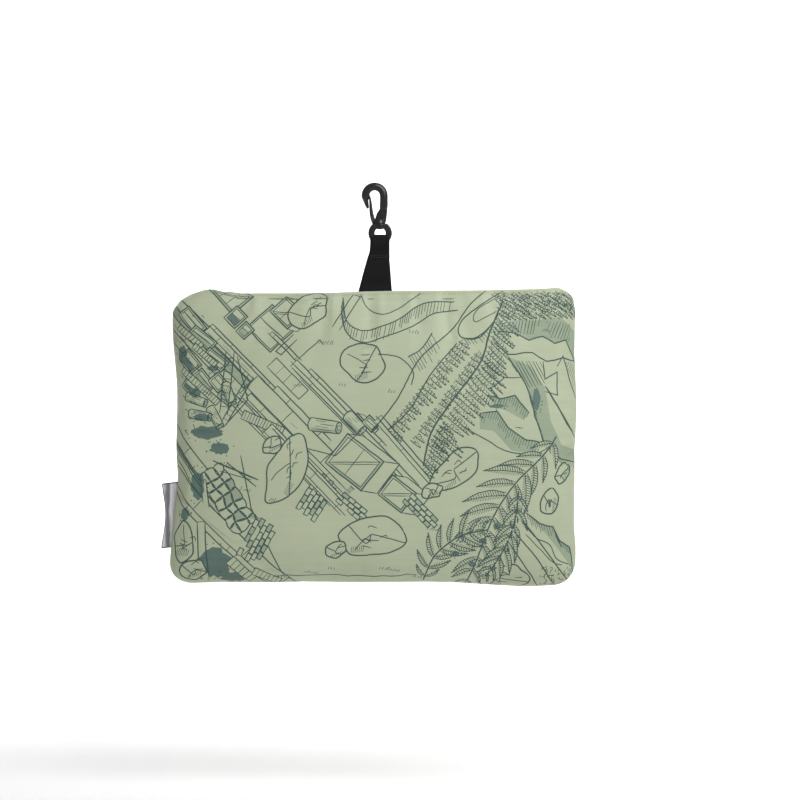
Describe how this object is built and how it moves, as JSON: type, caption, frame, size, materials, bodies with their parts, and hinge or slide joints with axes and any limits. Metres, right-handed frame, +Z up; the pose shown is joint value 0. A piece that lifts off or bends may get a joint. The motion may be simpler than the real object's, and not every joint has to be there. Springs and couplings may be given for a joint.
{
  "type": "foldable tote bag",
  "caption": "Soft foldable tote bag stowed flat in its own zip pouch, hung from a short webbing strap with a swivel snap hook",
  "frame": {"origin": "centre of the snap hook's bend, where the ring or bar it is clipped to sits", "axes": "+Z up as the pouch hangs, +X along the zip with the side label on the -X side, front face towards -Y"},
  "size_m": [0.2391, 0.024, 0.2308],
  "materials": {
    "black_plastic": "moulded, fine matt",
    "black_webbing": "tight woven tape",
    "black_thread": "twisted thread",
    "printed_nylon": "thin satin nylon with a line print",
    "binding_tape": "woven",
    "zip_tape": "woven",
    "zip_coil": "nylon coil",
    "zip_metal": "satin paint",
    "sage_thread": "twisted thread",
    "label_satin": "satin weave",
    "tote_nylon": "thin satin nylon"
  },
  "bodies": {
    "hook": {"snap_hook": "black_plastic"},
    "gate": {"hook_gate": "black_plastic"},
    "ring": {"swivel_ring": "black_plastic"},
    "strap": {"hook_strap": "black_webbing", "strap_stitching": "black_thread"},
    "pouch": {"strap_end": "black_webbing", "pouch_front_panel": "printed_nylon", "pouch_back_panel": "printed_nylon", "side_seam_left": "binding_tape", "side_seam_right": "binding_tape", "bottom_seam": "binding_tape", "zipper_tape_front": "zip_tape", "zipper_tape_back": "zip_tape", "zipper_coil_front": "zip_coil", "zipper_coil_back": "zip_coil", "zipper_top_stop": "zip_coil", "zipper_bottom_stop": "zip_coil", "zipper_end_tab_left": "printed_nylon", "zipper_end_tab_right": "printed_nylon", "topstitch_front": "sage_thread", "topstitch_back": "sage_thread", "tote_front_panel": "tote_nylon", "tote_back_panel": "tote_nylon", "tote_gusset": "tote_nylon", "tote_handle_left": "tote_nylon", "tote_handle_right": "tote_nylon"},
    "slider": {"zipper_slider": "zip_metal"},
    "pull": {"zipper_pull": "zip_metal"},
    "label": {"side_label": "label_satin"}
  },
  "joints": [
    {"name": "gate_hinge", "type": "hinge", "parent": "hook", "child": "gate", "pos_m": [-0.00075, 0, -0.01235], "axis": [0, 1, 0], "range_deg": [0, 24], "stiffness_Nm_per_rad": 0.004, "springref_deg": -5.73},
    {"name": "ring_swivel", "type": "hinge", "parent": "hook", "child": "ring", "pos_m": [0.0032, 0, -0.0165], "axis": [0, 0, 1], "continuous": true},
    {"name": "strap_hinge", "type": "hinge", "parent": "ring", "child": "strap", "pos_m": [0.0032, 0, -0.0242], "axis": [1, 0, 0], "range_deg": [-80, 80]},
    {"name": "strap_bend", "type": "hinge", "parent": "strap", "child": "pouch", "pos_m": [0.00045, 0, -0.051], "axis": [1, 0, 0], "range_deg": [-80, 80]},
    {"name": "zip_slide", "type": "slide", "parent": "pouch", "child": "slider", "axis": [1, 0, 0], "range_m": [0, 0.178]},
    {"name": "pull_hinge", "type": "hinge", "parent": "slider", "child": "pull", "pos_m": [-0.0935, -0.0056, -0.0548], "axis": [0, -1, 0], "range_deg": [0, 165]},
    {"name": "label_hinge", "type": "hinge", "parent": "pouch", "child": "label", "pos_m": [-0.1162, -0.0056, -0.18375], "axis": [0, 0, 1], "range_deg": [-70, 70]}
  ]
}
